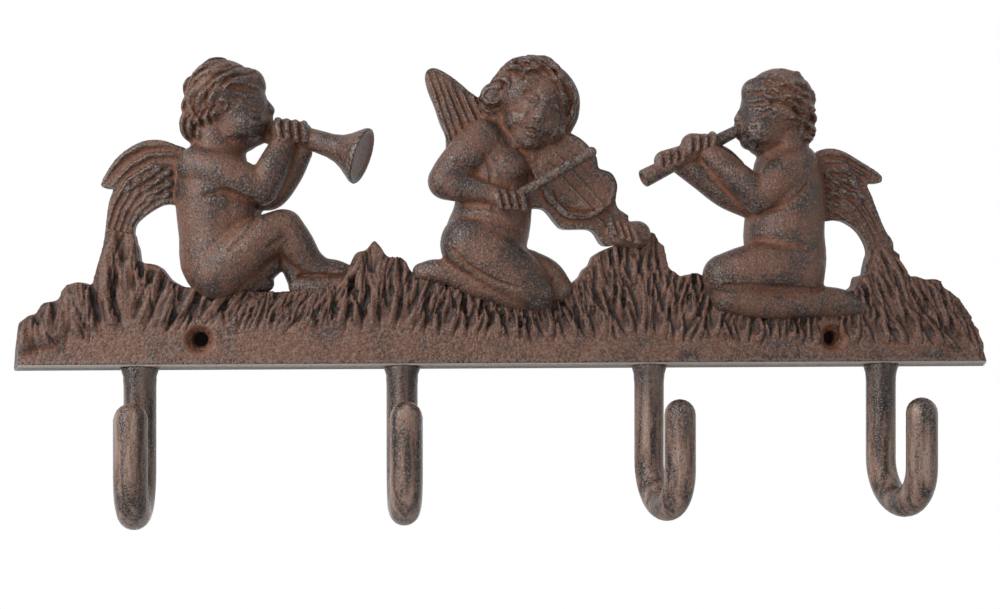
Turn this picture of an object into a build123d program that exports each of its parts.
from build123d import *
import math
import os

# Cast-iron coat rack, one casting: three putti making music in a bank of grass above four J hooks.
# X runs along the rack, Z is up, the wall is the plane Y = 0 and the relief stands out towards -Y.
# The origin lies on the wall, midway between the two screw holes. Sizes are millimetres.
# "Out" in the tables below is the distance in front of the wall.

# Ground strip and the bank of grass above it
RACK_LEFT = -171.0            # left end at the wall
RACK_RIGHT = 169.0            # right end at the wall
BASE_BOTTOM = -10.6           # lower edge at the wall
BASE_THICKNESS = 11.0         # wall to the face of the strip
BOTTOM_DRAFT = 2.0            # how far the lower edge slopes up towards the face
END_DRAFT = 4.5               # how far each end slopes in towards the face
STRIP_TOP = 7.0               # height where the face starts to lean back
BANK_CREST = 37.5             # height at which the bank is thinnest
BANK_CREST_THICKNESS = 6.5

# Screw holes
SCREW_SPACING = 216.6
SCREW_HOLE = 5.0              # bore
COUNTERSINK = 9.8             # rim of the countersink
COUNTERSINK_DEPTH = 2.6

# Hooks: a round rod that drops from the strip, turns forward and rises to a blunt tip
HOOK_PITCH = 85.3
HOOK_ROD = 10.2               # diameter
HOOK_STEM_OUT = 5.4           # wall to the middle of the stem
HOOK_BEND = 13.5              # radius of the bend at the middle of the rod
HOOK_DROP = 50.4              # lower edge of the base to the lowest point of the bend
HOOK_RISE = 41.8              # lowest point of the bend to the tip
HOOK_TIP_STEPS = ((2.2, 24.0), (1.3, 54.0))    # blunt tip: height and slope in from the side, degrees
HOOK_FILLET = 3.0             # round where the stem leaves the strip
HOOK_FILLET_OUT = 8.6         # wall to the front of that round
HOOK_FILLET_STEPS = 3         # straight runs that make up that round
HOOK_BEND_STEPS = 8           # straight runs that make up the bend
HOOK_SIDES = 12               # flats round the rod
HOOK_SHIFTS = (-0.6, 1.4, 1.6, -0.4)     # as cast: sideways from the even pitch
HOOK_TWISTS = (4.6, 1.8, 9.6, 6.5)       # as cast: turn of the tip to the right, degrees

# Figures: place of each along the rack
TRUMPETER_X = -100.0
FIDDLER_X = -5.0
FLAUTIST_X = 92.0

# Carved leaves: grass blades and fingers stand up from a face to a ridge
LEAF_WAIST = 0.42             # widest and highest place, share of the length from the root
BLADE_WIDTH = 4.2
BLADE_RISE = 1.4
BLADE_ROOT = 0.3              # how deep a blade is rooted in the face that carries it
BLADE_STEP = 3.7              # root to root within a tuft
SHORT_BLADE = 0.82            # every other blade, share of the full length
FINGER_WIDTH = 3.2
FINGER_RISE = 1.6
CARVED_ROOT = 2.0             # root of a nose, an ear or a finger
FEATHER_STEPS = 4             # straight runs along a feather
FEATHER_RISE = 1.5            # edge of a feather to its quill

# Rounded masses are faceted as if whittled
SMALL_SIDES = 8
LARGE_SIDES = 12
LARGE_GIRTH = 7.5             # radius above which a mass takes the larger count
DOME_HEIGHT = 0.8             # blunt end of a limb, in radii
DOME_TOP = 0.58
BALL_SLICES = (-30, 8, 42, 70)       # degrees above the middle of a boss

# Body of each figure: every mass is a line of stations (across, up, out, radius), one station makes a boss
TRUMPETER_BODY = {
    "hair": ((-2.2, 82.2, 1.5, 13.9),),
    "face": ((2.2, 76.6, 3.0, 10.6),),
    "cheek": ((6.8, 73.0, 7.0, 6.4),),
    "nape": ((-10.6, 73.0, 3.2, 6.2),),
    "crown": ((-6.4, 86.0, 5.5, 7.8),),
    "temple": ((1.8, 88.2, 6.5, 6.6),),
    "forelock": ((7.6, 88.2, 5.0, 5.2),),
    "neck": ((-3.0, 68.5, 2.5, 7.6), (-1.6, 61, 3.0, 8.2)),
    "trunk": ((-4.6, 60, 2.0, 8.8), (-5.2, 54, 2.0, 12.1), (-4.0, 46, 1.5, 13.9), (-3.2, 38, 1.5, 14.4),
              (-3.0, 28, 2.5, 13.3), (-2.6, 20, 3.0, 9.6)),
    "upper_arm": ((-9.6, 57, 7.0, 6.4), (-3, 56.2, 8.5, 6.7), (6, 54.6, 8.6, 5.7), (15.0, 53.2, 8.0, 4.9)),
    "forearm": ((15.6, 52.6, 8.0, 4.8), (17.2, 58, 7.4, 4.9), (19.2, 66.4, 5.4, 3.6)),
    "near_hand": ((18.4, 68.6, 5.0, 4.0), (21.6, 69.6, 5.4, 4.6), (25.4, 69.4, 4.6, 3.6)),
    "far_elbow": ((5, 49.4, 2.6, 4.6), (14, 48.6, 2.6, 4.2)),
    "far_arm": ((13.0, 48.2, 2.6, 4.2), (18.0, 54.4, 2.8, 4.2), (25.2, 64.6, 2.6, 3.2)),
    "thigh": ((-2.5, 21.5, 5.5, 8.6), (4, 26.6, 7.0, 8.7), (12, 32.4, 7.4, 7.3), (19, 37.6, 6.6, 5.8)),
    "ham": ((5, 20.5, 4.0, 6.2), (15.8, 29, 4.0, 4.4)),
    "shin": ((19.6, 37.8, 6.4, 5.6), (23, 33, 6.4, 5.3), (27.4, 26.2, 5.4, 4.2)),
    "foot": ((26.6, 25.2, 5.0, 3.8), (32, 24.4, 5.0, 3.2), (39, 22.8, 4.0, 2.4)),
    "far_shin": ((21.2, 26, 2.4, 3.6), (22.6, 18.8, 3.0, 3.2)),
    "far_foot": ((21.4, 18.6, 3.0, 3.3), (29, 18.6, 3.2, 3.0), (38.4, 19.4, 3.0, 2.3)),
}
FIDDLER_BODY = {
    "hair": ((7.4, 83.4, 0.0, 14.8),),
    "right_hair": ((13.6, 81.6, 0.0, 11.4),),
    "left_curl": ((-4.2, 82.6, 3.5, 6.2),),
    "left_lock": ((-0.6, 89.4, 5.0, 5.8),),
    "top_lock": ((6.8, 92.2, 5.5, 5.9),),
    "right_lock": ((14.6, 90.0, 5.0, 5.9),),
    "right_curl": ((19.2, 83.4, 4.0, 5.6),),
    "low_curl": ((19.0, 76.4, 3.5, 5.0),),
    "face": ((8.4, 78.0, 5.0, 10.9),),
    "jaw": ((6.2, 72.0, 6.5, 8.6),),
    "trunk": ((-8, 69, 2.0, 8.6), (-6.5, 62, 2.0, 12.3), (-5.0, 54, 2.0, 13.8), (-4.6, 46, 1.5, 14.4),
              (-6.2, 38, 2.0, 15.0), (-8, 29, 2.4, 13.8), (-9, 22, 3.0, 9.0)),
    "breast": ((-2.2, 59.2, 7.2, 7.6),),
    "far_shoulder": ((8.4, 61.0, 3.0, 8.6),),
    "upper_arm": ((-8.6, 68.4, 5.5, 6.2), (-12.4, 64.2, 6.4, 6.9), (-17.5, 58.6, 6.8, 6.3),
                  (-21.8, 54.2, 6.5, 5.7)),
    "forearm": ((-22.6, 53.6, 6.6, 5.3), (-15, 51.2, 8.6, 4.9), (-4.4, 48.2, 11.4, 3.5)),
    "bow_hand": ((-4.6, 47.8, 11.8, 3.4), (-1, 47.2, 12.4, 4.0), (3.0, 46.6, 12.8, 3.2)),
    "fiddle_hand": ((37.6, 35.4, 5.6, 3.9), (41, 36, 6.0, 4.6), (45.0, 36.4, 4.6, 3.8)),
    "hip": ((-12.0, 31.6, 5.0, 10.4),),
    "thigh": ((-11, 29.6, 6.5, 9.6), (-6, 26.4, 8.2, 9.9), (1, 21.4, 9.0, 8.3), (8.4, 16.2, 8.6, 6.2)),
    "calf": ((8.6, 13.6, 8.6, 4.7), (-2, 16.4, 9.2, 4.9), (-13, 20.0, 8.6, 4.3), (-20, 22, 7.6, 3.4)),
    "foot": ((-18, 21.8, 7.6, 3.5), (-24, 22.6, 7.0, 3.6), (-29.4, 22.8, 6.0, 2.6)),
    "far_thigh": ((6.6, 26.4, 4.5, 4.9), (12, 21.8, 6.0, 5.2), (17.2, 16.6, 7.0, 4.5)),
}
FLAUTIST_BODY = {
    "hair": ((-0.6, 82.0, 1.5, 13.9),),
    "face": ((-5.0, 76.6, 3.0, 10.2),),
    "cheek": ((-8.8, 73.0, 7.0, 6.2),),
    "nape": ((7.4, 72.8, 3.2, 5.8),),
    "crown": ((3.6, 86.0, 5.5, 7.8),),
    "temple": ((-3.6, 88.6, 6.5, 6.6),),
    "forelock": ((-8.8, 88.0, 5.0, 5.3),),
    "neck": ((1.8, 68.5, 2.5, 7.6), (1.6, 61, 3.0, 8.2)),
    "trunk": ((2.0, 61, 2.0, 8.9), (1.8, 55, 2.0, 12.3), (1.2, 47, 1.5, 14.2), (1.0, 39, 1.5, 14.6),
              (2.0, 29, 2.5, 13.8), (2.4, 19, 3.0, 9.6)),
    "upper_arm": ((5, 60.4, 7.0, 6.2), (0.5, 57.6, 8.6, 6.7), (-5, 54, 9.0, 5.9), (-10, 51, 8.4, 5.1)),
    "forearm": ((-10.6, 50.8, 8.2, 5.0), (-17, 55.6, 7.4, 5.0), (-27, 63.6, 5.2, 4.2)),
    "near_hand": ((-25.6, 65.8, 5.0, 3.9), (-29, 67, 5.4, 4.6), (-32.6, 66.8, 4.6, 3.6)),
    "far_arm": ((-12, 46.6, 2.6, 4.9), (-22, 52.6, 2.8, 4.9), (-34.6, 59.2, 2.8, 4.0)),
    "far_hand": ((-35.6, 62, 4.4, 3.8), (-38.8, 61.8, 4.8, 4.4), (-42, 60.6, 4.2, 3.4)),
    "thigh": ((5, 23.4, 6.5, 9.0), (-4, 24.2, 8.2, 9.7), (-14, 23.8, 9.0, 8.7), (-22.6, 22.2, 8.2, 7.0)),
    "calf": ((-21, 13.4, 8.6, 4.7), (-10, 13.0, 9.2, 5.2), (2, 12.6, 9.0, 4.8), (12, 12.2, 8.4, 4.1)),
    "foot": ((10, 12.4, 8.4, 4.2), (17, 12.4, 7.6, 4.0), (25.4, 11.4, 6.4, 2.9)),
    "heel": ((15, 14.8, 7.0, 4.4),),
}

# Side faces: brow, bridge, nose, lips and chin of a putto seen from the side, and how far they reach out
TRUMPETER_PROFILE = ((10.8, 84.4), (11.6, 80.2), (14.6, 78.2), (14.2, 75.8), (15.2, 73.8), (14.0, 71.2),
                     (13.2, 68.8), (12.2, 66.2), (8.0, 66.0), (3.0, 80.0))
FLAUTIST_PROFILE = ((-13.8, 84.4), (-14.6, 80.0), (-16.6, 77.4), (-16.2, 75.4), (-17.4, 73.8), (-16.2, 71.2),
                    (-15.0, 69.4), (-13.4, 67.4), (-9.0, 66.6), (-4.0, 80.0))
PROFILE_OUT = 5.5

# Carved leaves of each figure: corners across and up, then the ridge point across, up and out
FIDDLER_NOSE = (((12.4, 82.6), (8.2, 75.8), (13.0, 74.8)), (10.7, 76.8, 18.4))
TRUMPETER_EAR = (((-3.6, 81.6), (-4.0, 77.2), (-1.4, 75.0), (0.2, 80.4)), (-2.0, 78.8, 16.6))
FLAUTIST_EAR = (((7.4, 80.0), (7.8, 75.6), (5.2, 73.4), (3.6, 78.8)), (5.8, 77.2, 15.4))
CARVED_FACE = 13.0            # wall to the skin that carries a nose or an ear

# Finger rows: first and last knuckle (across, up), reach of a finger, count, face they lie on
TRUMPETER_GRIP = ((18.0, 74.4), (26.4, 72.6), (0.8, -6.2), 4, 7.4)
FIDDLER_BOW_GRIP = ((-4.2, 51.0), (2.8, 49.6), (1.6, -6.6), 4, 14.2)
FIDDLER_STOP_GRIP = ((35.0, 38.6), (42.0, 40.0), (0.8, -6.6), 4, 8.4)
FLAUTIST_NEAR_GRIP = ((-25.6, 71.0), (-32.8, 68.6), (-0.8, -6.2), 4, 7.4)
FLAUTIST_FAR_GRIP = ((-35.4, 65.8), (-43.0, 61.8), (-0.8, -6.2), 4, 6.8)

# Wings: feathers as (root, tip, bow of the middle line, width, out), the lowest feather on top
TRUMPETER_WING = (
    ((-7, 48), (-31.0, 34.0), 6.5, 7.0, 9.0),
    ((-7, 52), (-34.0, 34.0), 8.0, 7.0, 8.4),
    ((-7, 55), (-37.5, 33.0), 9.0, 7.5, 7.8),
    ((-7, 58), (-40.0, 36.0), 8.5, 7.5, 7.2),
    ((-7, 59), (-39.5, 46.0), 7.0, 8.0, 6.6),
    ((-7, 60), (-41.6, 51.0), 6.4, 8.0, 5.8),
    ((-7, 60), (-37.0, 60.0), 3.4, 6.5, 5.2),
)
FIDDLER_WING = (
    ((-17, 60), (-28.0, 90.6), 1.5, 5.0, 8.4),
    ((-15, 60), (-26.2, 92.4), 0.5, 5.5, 7.8),
    ((-12, 60), (-22.0, 89.4), 0.4, 5.8, 7.2),
    ((-9, 60), (-18.0, 86.4), 0.6, 5.8, 6.6),
    ((-6, 60), (-13.4, 82.6), 1.0, 5.8, 6.0),
)
FLAUTIST_WING = (
    ((6, 46), (31.4, 31.0), -6.0, 6.5, 9.0),
    ((6, 50), (35.0, 31.0), -7.0, 7.0, 8.4),
    ((6, 54), (38.0, 31.0), -6.6, 7.5, 7.8),
    ((6, 57), (40.8, 32.0), -5.2, 7.5, 7.2),
    ((6, 59), (32.5, 50.0), -4.6, 7.0, 6.6),
    ((6, 60), (36.4, 55.8), -3.8, 7.5, 5.8),
    ((6, 60), (28.0, 62.0), -2.6, 6.0, 5.2),
)

# Trumpet: mouth and bell ends (across, up, out), then its tube and flare
TRUMPET_MOUTH = (14.0, 73.0, 2.8)
TRUMPET_BELL = (46.4, 61.4, 5.2)
TRUMPET_PROFILE = ((0.0, 1.8), (20.0, 2.7), (26.0, 4.4), (30.0, 6.8), (33.6, 10.2))    # along, radius
TRUMPET_RIM = 1.4                                    # width of the rim along the trumpet
TRUMPET_CUP = ((35.0, 8.8), (31.0, 3.6))             # hollow of the bell: along, radius

# Pipe of the flautist: both ends (across, up, out) and radii
PIPE_MOUTH = (-15.0, 73.0, 3.2)
PIPE_END = (-51.0, 54.4, 3.6)
PIPE_MOUTH_RADIUS = 2.0
PIPE_END_RADIUS = 3.2

# Fiddle: chin end of the belly (across, up), slope of the strings, then sizes along and out
FIDDLE_AT = (16.2, 65.2)
FIDDLE_SLOPE = 49.6
FIDDLE_LOWER_BOUT = 10.0      # radius
FIDDLE_LOWER_AT = 6.5         # along the strings
FIDDLE_UPPER_BOUT = 8.3
FIDDLE_UPPER_AT = 20.8
FIDDLE_SIDES = 18             # flats round a bout
FIDDLE_BELLY_OUT = 11.5       # wall to the belly
FIDDLE_RIB_SHIFT = 5.6        # how far the ribs show below the belly
FIDDLE_RIB_OUT = 8.5
FIDDLE_NECK_END = 46.0        # along the strings
FIDDLE_NECK_WIDTH = 4.8
FIDDLE_BOARD_OUT = 12.9
SOUND_HOLE_ASIDE = 5.6        # strings to the sound hole
SOUND_HOLE_LENGTH = 9.0
SOUND_HOLE_WIDTH = 2.4
SOUND_HOLE_DEPTH = 1.0
BOW_HEEL = (-1.0, 46.6, 14.4)
BOW_TIP = (27.6, 63.2, 13.6)
BOW_RADIUS = 1.4

# Grass: ragged crest of the bank from the left end to the right (along the rack, up)
BANK_OUTLINE = (
    (-168.7, 1.7), (-167.2, 5.6), (-163.9, 8.6), (-161.7, 9.2), (-160.0, 12.4), (-156.7, 13.6), (-154.4, 14.4),
    (-152.2, 19.2), (-148.3, 20.3), (-143.9, 18.9), (-141.2, 29.2), (-139.5, 38.0), (-130.6, 36.0),
    (-128.8, 26.5), (-124.0, 26.2), (-118.8, 20.8), (-114.6, 18.6), (-86.0, 17.0), (-80.0, 17.0), (-62.0, 20.0),
    (-57.7, 29.6), (-53.5, 31.2), (-50.8, 34.8), (-46.5, 29.2), (-41.9, 29.2), (-38.8, 24.6), (-35.0, 22.4),
    (-10.0, 12.0), (14.0, 17.0), (20.0, 22.0), (23.3, 26.0), (24.3, 29.3), (28.0, 31.6), (44.3, 38.0),
    (46.7, 38.0), (48.0, 34.3), (50.0, 33.3), (51.3, 25.3), (55.5, 22.0), (61.4, 23.6), (90.0, 14.0),
    (113.6, 16.4), (118.6, 18.6), (119.3, 22.5), (123.2, 23.6), (126.0, 33.0), (133.2, 32.1), (135.4, 30.7),
    (136.1, 23.6), (138.9, 21.4), (140.2, 23.1), (144.4, 21.4), (147.8, 22.0), (150.6, 21.1), (150.8, 18.3),
    (153.0, 17.2), (156.4, 8.9), (158.4, 8.1), (161.4, 2.8), (162.4, -1.7),
)
# Tufts: root along the rack, root height, blades, length, fan (degrees), lean to the right (degrees)
TUFTS = (
    (-160, -2, 3, 9, 36, 4), (-151, 3, 3, 13, 44, -6), (-141, 4, 3, 13, 50, 6), (-146, 11, 2, 8, 40, -4),
    (-135, 14, 3, 18, 16, 2), (-130, 4, 3, 14, 50, -4), (-120, 4, 3, 13, 50, 4), (-126, 14, 3, 10, 40, 0),
    (-109, 7, 3, 8, 50, -4), (-98, 5, 3, 9, 56, 6), (-87, 5, 3, 10, 56, -6), (-76, 4, 3, 11, 50, 6),
    (-66, 5, 3, 12, 50, -4), (-57, 12, 3, 17, 30, -4), (-50, 13, 3, 20, 30, 4), (-55, 3, 3, 12, 50, 4),
    (-44, 4, 3, 14, 50, -6), (-42, 14, 3, 12, 40, 6), (-33, 4, 3, 13, 54, -6), (-22, 2, 3, 12, 56, 6),
    (-11, 0, 3, 9, 60, -4), (0, -2, 3, 8, 60, 6), (11, 0, 3, 9, 56, -4), (21, 4, 3, 16, 44, 6),
    (29, 9, 3, 19, 36, -6), (37, 10, 3, 19, 36, 6), (46, 13, 3, 22, 26, -2), (32, -1, 3, 12, 50, 4),
    (43, 0, 3, 14, 50, -4), (54, 3, 3, 15, 36, -4), (62, 1, 3, 14, 50, 6), (73, -2, 3, 8, 60, -6),
    (84, -3, 3, 8, 60, 6), (95, -4, 3, 8, 60, -4), (117, -1, 3, 15, 44, 4), (123, 9, 2, 14, 30, -4),
    (130, 9, 3, 22, 20, 0), (128, -2, 3, 13, 50, 4), (139, 3, 3, 16, 40, 4), (148, 3, 3, 13, 36, 2),
    (156, -5, 3, 10, 26, 0),
)


def place(across, up, out):
    """Point at a distance across, up and out from the wall."""
    return Vector(across, -out, up)


def on_wall(sketch, out):
    """Extrude a sketch drawn across and up from the wall to a given distance out."""
    return extrude(Plane.XZ * sketch, amount=out)


def ring(centre, along, radius, sides):
    """Corners of a regular ring square to a direction."""
    aside = along.cross(Vector(0, 1, 0)).normalized()
    forward = aside.cross(along)
    turns = [2 * math.pi * index / sides for index in range(sides)]
    return [centre + aside * (radius * math.cos(turn)) + forward * (radius * math.sin(turn))
            for turn in turns]


def stack(rings):
    """Closed solid with flat faces over a stack of parallel rings."""
    faces = [Face(Wire.make_polygon(rings[0])), Face(Wire.make_polygon(rings[-1]))]
    for low, high in zip(rings, rings[1:]):
        for index in range(len(low)):
            after = (index + 1) % len(low)
            faces.append(Face(Wire.make_polygon([low[index], low[after], high[after], high[index]])))
    return Solid(Shell(faces))


def sides_for(radius):
    """More facets on the large masses than on the limbs."""
    return LARGE_SIDES if radius > LARGE_GIRTH else SMALL_SIDES


def column(levels, along):
    """Mass through levels of (centre, radius) square to one direction, with blunt domed ends."""
    sides = sides_for(max(radius for _, radius in levels))
    (first, first_radius), (last, last_radius) = levels[0], levels[-1]
    low = (first - along * (DOME_HEIGHT * first_radius), DOME_TOP * first_radius)
    high = (last + along * (DOME_HEIGHT * last_radius), DOME_TOP * last_radius)
    return stack([ring(centre, along, radius, sides) for centre, radius in (low, *levels, high)])


def ball(across, up, out, radius):
    """Rounded boss, sliced parallel to the wall."""
    centre = place(across, up, out)
    rings = []
    for degrees in BALL_SLICES:
        turn = math.radians(degrees)
        middle = centre + Vector(0, -radius * math.sin(turn), 0)
        rings.append(wall_ring(middle, radius * math.cos(turn), sides_for(radius)))
    return stack(rings)


def wall_ring(centre, radius, sides):
    """Corners of a regular ring that lies parallel to the wall."""
    turns = [2 * math.pi * (index + 0.5) / sides for index in range(sides)]
    return [centre + Vector(radius * math.cos(turn), 0, radius * math.sin(turn)) for turn in turns]


def mass(stations):
    """One mass of a body: a boss for a single station, or else a column along the line of stations."""
    if len(stations) == 1:
        return ball(*stations[0])
    levels = [(place(across, up, out), radius) for across, up, out, radius in stations]
    return column(levels, (levels[-1][0] - levels[0][0]).normalized())


def leaf(corners, root_out, ridge):
    """Carved leaf: corners at one distance out, drawn up to one ridge point."""
    base = Face(Wire.make_polygon([place(across, up, root_out) for across, up in corners]))
    return loft([base, Vertex(*place(*ridge))], ruled=True)


def blade(root, tip, width, root_out, ridge_out):
    """Leaf from a pointed root to a pointed tip, widest and highest below its middle."""
    root = Vector(*root)
    along = Vector(*tip) - root
    aside = Vector(-along.Y, along.X).normalized() * (width / 2)
    waist = root + along * LEAF_WAIST
    corners = [(point.X, point.Y) for point in (root, waist - aside, root + along, waist + aside)]
    return leaf(corners, root_out, (waist.X, waist.Y, ridge_out))


def fingers(first, last, reach, count, face):
    """Row of fingers side by side from the first knuckle to the last."""
    first = Vector(*first)
    step = (Vector(*last) - first) / (count - 1)
    rows = []
    for index in range(count):
        knuckle = first + step * index
        end = knuckle + Vector(*reach)
        rows.append(blade((knuckle.X, knuckle.Y), (end.X, end.Y), FINGER_WIDTH, face - CARVED_ROOT,
                          face + FINGER_RISE))
    return rows


def feather(root, tip, bow, width, out):
    """Bowed feather from the wall, its two sides falling away from a raised quill."""
    root = Vector(*root)
    along = Vector(*tip) - root
    aside = Vector(along.Y, -along.X).normalized()
    edges = {1: [], 0: [], -1: []}
    for step in range(1, FEATHER_STEPS):
        share = step / FEATHER_STEPS
        swell = 4 * share * (1 - share)
        for side, points in edges.items():
            points.append(root + along * share + aside * (swell * (bow + side * width / 2)))
    outline = [root, *edges[1], root + along, *reversed(edges[-1])]
    foot = [place(point.X, point.Y, 0) for point in outline]
    rim = [place(point.X, point.Y, out - FEATHER_RISE) for point in outline]
    quill = [rim[0], *[place(point.X, point.Y, out) for point in edges[0]], rim[FEATHER_STEPS]]
    left = rim[:FEATHER_STEPS + 1]
    right = [rim[0], *reversed(rim[FEATHER_STEPS:])]
    corners = [foot, *[[foot[index - 1], foot[index], rim[index], rim[index - 1]]
                       for index in range(len(foot))]]
    for line in (left, right):
        for index in range(FEATHER_STEPS):
            corners.append([line[index], line[index + 1], quill[index + 1]])
            corners.append([line[index], quill[index + 1], quill[index]])
    return Solid(Shell([Face(Wire.make_polygon(points)) for points in corners
                        if len(set(map(tuple, points))) > 2]))


def trumpet():
    """Slim tube that flares to a hollow bell."""
    mouth = place(*TRUMPET_MOUTH)
    along = (place(*TRUMPET_BELL) - mouth).normalized()
    levels = TRUMPET_PROFILE + ((TRUMPET_PROFILE[-1][0] + TRUMPET_RIM, TRUMPET_PROFILE[-1][1]),) + TRUMPET_CUP
    return stack([ring(mouth + along * reach, along, radius, LARGE_SIDES) for reach, radius in levels])


def pipe():
    """Tapered pipe with a flat end."""
    mouth = place(*PIPE_MOUTH)
    end = place(*PIPE_END)
    along = (end - mouth).normalized()
    return stack([ring(mouth, along, PIPE_MOUTH_RADIUS, SMALL_SIDES),
                  ring(end, along, PIPE_END_RADIUS, SMALL_SIDES)])


def fiddle():
    """Two-bout fiddle, its ribs showing below the belly, with neck, sound hole and bow."""
    seat = Pos(*FIDDLE_AT) * Rot(0, 0, -FIDDLE_SLOPE)
    body = Pos(FIDDLE_LOWER_AT, 0) * RegularPolygon(FIDDLE_LOWER_BOUT, FIDDLE_SIDES)
    body += Pos(FIDDLE_UPPER_AT, 0) * RegularPolygon(FIDDLE_UPPER_BOUT, FIDDLE_SIDES)
    neck_length = FIDDLE_NECK_END - FIDDLE_LOWER_AT
    board = Pos(FIDDLE_LOWER_AT + neck_length / 2, 0) * Rectangle(neck_length, FIDDLE_NECK_WIDTH)
    hole = Pos(FIDDLE_UPPER_AT, -SOUND_HOLE_ASIDE) * SlotOverall(SOUND_HOLE_LENGTH, SOUND_HOLE_WIDTH)
    floor = FIDDLE_BELLY_OUT - SOUND_HOLE_DEPTH
    cut = Pos(0, -floor, 0) * on_wall(seat * hole, 2 * SOUND_HOLE_DEPTH)
    return [
        on_wall(seat * Pos(0, -FIDDLE_RIB_SHIFT) * body, FIDDLE_RIB_OUT),
        on_wall(seat * body, FIDDLE_BELLY_OUT) - cut,
        on_wall(seat * board, FIDDLE_BOARD_OUT),
        mass(((*BOW_HEEL, BOW_RADIUS), (*BOW_TIP, BOW_RADIUS))),
    ]


def putto(body, wing):
    """Rounded body and the wing behind it."""
    return [mass(stations) for stations in body.values()] + [feather(*values) for values in wing]


def side_face(outline):
    """Brow, nose, lips and chin in profile."""
    return on_wall(make_face(Polyline(*outline, close=True)), PROFILE_OUT)


def trumpeter():
    """Seated putto in profile, blowing the trumpet with both hands."""
    corners, ridge = TRUMPETER_EAR
    carving = [side_face(TRUMPETER_PROFILE), leaf(corners, CARVED_FACE - CARVED_ROOT, ridge), trumpet()]
    return putto(TRUMPETER_BODY, TRUMPETER_WING) + carving + fingers(*TRUMPETER_GRIP)


def fiddler():
    """Kneeling putto facing out, head bowed over the fiddle."""
    corners, ridge = FIDDLER_NOSE
    carving = [leaf(corners, CARVED_FACE - CARVED_ROOT, ridge)] + fiddle()
    return (putto(FIDDLER_BODY, FIDDLER_WING) + carving
            + fingers(*FIDDLER_BOW_GRIP) + fingers(*FIDDLER_STOP_GRIP))


def flautist():
    """Kneeling putto in profile, playing the pipe."""
    corners, ridge = FLAUTIST_EAR
    carving = [side_face(FLAUTIST_PROFILE), leaf(corners, CARVED_FACE - CARVED_ROOT, ridge), pipe()]
    grips = fingers(*FLAUTIST_NEAR_GRIP) + fingers(*FLAUTIST_FAR_GRIP)
    return putto(FLAUTIST_BODY, FLAUTIST_WING) + carving + grips


def fused(pieces):
    """One solid from pieces that overlap."""
    return pieces[0].fuse(*pieces[1:])


def bank():
    """Ground strip and grass bank: one outline, thinned upwards and sloped at the bottom and ends."""
    outline = Polyline((RACK_RIGHT, BASE_BOTTOM), (RACK_LEFT, BASE_BOTTOM), *BANK_OUTLINE, close=True)
    slab = on_wall(make_face(outline), BASE_THICKNESS)
    section = Polyline((0, BASE_BOTTOM), (-BASE_THICKNESS, BASE_BOTTOM + BOTTOM_DRAFT),
                       (-BASE_THICKNESS, STRIP_TOP), (-BANK_CREST_THICKNESS, BANK_CREST),
                       (-BANK_CREST_THICKNESS, 2 * BANK_CREST), (0, 2 * BANK_CREST), close=True)
    across = Plane(origin=(RACK_LEFT, 0, 0), x_dir=(0, 1, 0), z_dir=(1, 0, 0))
    swept = extrude(across * make_face(section), amount=RACK_RIGHT - RACK_LEFT)
    plan = Polyline((RACK_LEFT, 0), (RACK_RIGHT, 0), (RACK_RIGHT - END_DRAFT, -BASE_THICKNESS),
                    (RACK_LEFT + END_DRAFT, -BASE_THICKNESS), close=True)
    ends = extrude(Plane.XY.offset(BASE_BOTTOM) * make_face(plan), amount=2 * BANK_CREST)
    return slab & swept & ends


def bank_face(up):
    """How far the face of the bank stands out at a height."""
    share = min(max((up - STRIP_TOP) / (BANK_CREST - STRIP_TOP), 0), 1)
    return BASE_THICKNESS + (BANK_CREST_THICKNESS - BASE_THICKNESS) * share


def grass():
    """Blades of every tuft, fanned about the tuft's lean, alternately longer and shorter."""
    blades = []
    for across, up, count, length, spread, lean in TUFTS:
        for step in range(count):
            angle = math.radians(lean + spread * (step / (count - 1) - 0.5))
            reach = length * (1.0 if step % 2 else SHORT_BLADE)
            foot = (across + (step - (count - 1) / 2) * BLADE_STEP, up)
            tip = (foot[0] + reach * math.sin(angle), up + reach * math.cos(angle))
            face = bank_face(up + reach / 2)
            blades.append(blade(foot, tip, BLADE_WIDTH, face - BLADE_ROOT, face + BLADE_RISE))
    return blades


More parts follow.
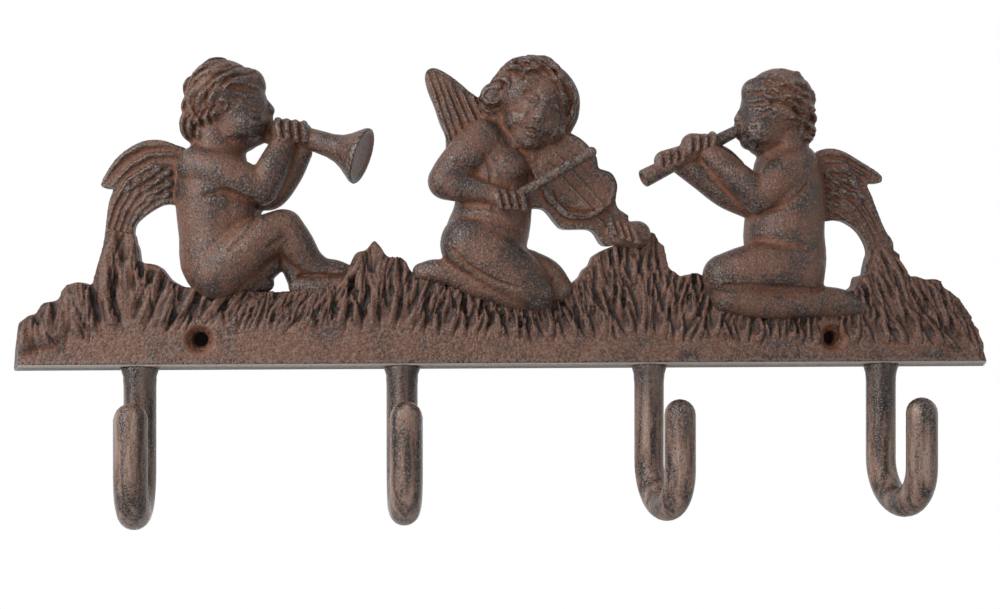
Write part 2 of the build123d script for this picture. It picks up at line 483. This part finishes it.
def hook(across, twist):
    """J hook: stem, bend and rising blunt tip, turned a little about its stem."""
    low = BASE_BOTTOM - HOOK_DROP + HOOK_ROD / 2 + HOOK_BEND
    tip = BASE_BOTTOM - HOOK_DROP + HOOK_RISE
    root = BASE_BOTTOM + HOOK_ROD / 2
    turns = [math.pi * step / HOOK_BEND_STEPS for step in range(HOOK_BEND_STEPS + 1)]
    bend = [(0, HOOK_BEND * (math.cos(turn) - 1), low - HOOK_BEND * math.sin(turn)) for turn in turns]
    shoulder = tip - sum(height for height, _ in HOOK_TIP_STEPS)
    path = Polyline((0, 0, root), *bend, (0, -2 * HOOK_BEND, shoulder))
    section = Plane(origin=(0, 0, root), z_dir=(0, 0, -1)) * RegularPolygon(HOOK_ROD / 2, HOOK_SIDES)
    bar = sweep(section, path=path, transition=Transition.RIGHT)
    for height, slope in HOOK_TIP_STEPS:
        end = bar.faces().filter_by(Axis.Z).sort_by(Axis.Y)[0]
        bar = bar.fuse(extrude(end, amount=height, taper=slope))
    return Pos(across, -HOOK_STEM_OUT, 0) * Rot(0, 0, twist) * bar


def hook_root(across):
    """Rounds on both sides of a stem where it leaves the strip."""
    half = HOOK_ROD / 2
    turns = [math.pi / 2 * step / HOOK_FILLET_STEPS for step in range(HOOK_FILLET_STEPS + 1)]
    curve = [(half + HOOK_FILLET * (1 - math.cos(turn)), BASE_BOTTOM - HOOK_FILLET * (1 - math.sin(turn)))
             for turn in turns]
    top = BASE_BOTTOM + HOOK_FILLET
    right = [*curve, (half + HOOK_FILLET, top)]
    left = [(-across_stem, up) for across_stem, up in reversed(right)]
    return Pos(across, 0, 0) * on_wall(make_face(Polyline(*right, *left, close=True)), HOOK_FILLET_OUT)


def screw_hole(across):
    """Through bore with its countersink in the face of the strip."""
    bore = Cylinder(SCREW_HOLE / 2, 2 * BASE_THICKNESS, rotation=(90, 0, 0))
    sink = Cone(SCREW_HOLE / 2, COUNTERSINK / 2, COUNTERSINK_DEPTH, rotation=(90, 0, 0))
    return [Pos(across, -BASE_THICKNESS / 2, 0) * bore,
            Pos(across, -BASE_THICKNESS + COUNTERSINK_DEPTH / 2, 0) * sink]


def hook_rack():
    """The whole casting, cut flat at the wall and drilled for its two screws."""
    solid = bank().fuse(*grass())
    for make, across in ((trumpeter, TRUMPETER_X), (fiddler, FIDDLER_X), (flautist, FLAUTIST_X)):
        solid = solid.fuse(Pos(across, 0, 0) * fused(make()))
    middle = (len(HOOK_SHIFTS) - 1) / 2
    for index, (shift, twist) in enumerate(zip(HOOK_SHIFTS, HOOK_TWISTS)):
        across = (index - middle) * HOOK_PITCH + shift
        solid = solid.fuse(hook(across, twist), hook_root(across))
    reach = 2 * (RACK_RIGHT - RACK_LEFT)
    behind = Pos(0, reach / 2, 0) * Box(reach, reach, reach)
    return solid.cut(behind, *screw_hole(-SCREW_SPACING / 2), *screw_hole(SCREW_SPACING / 2))


os.makedirs("parts", exist_ok=True)
export_step(hook_rack(), "parts/hook_rack.step")
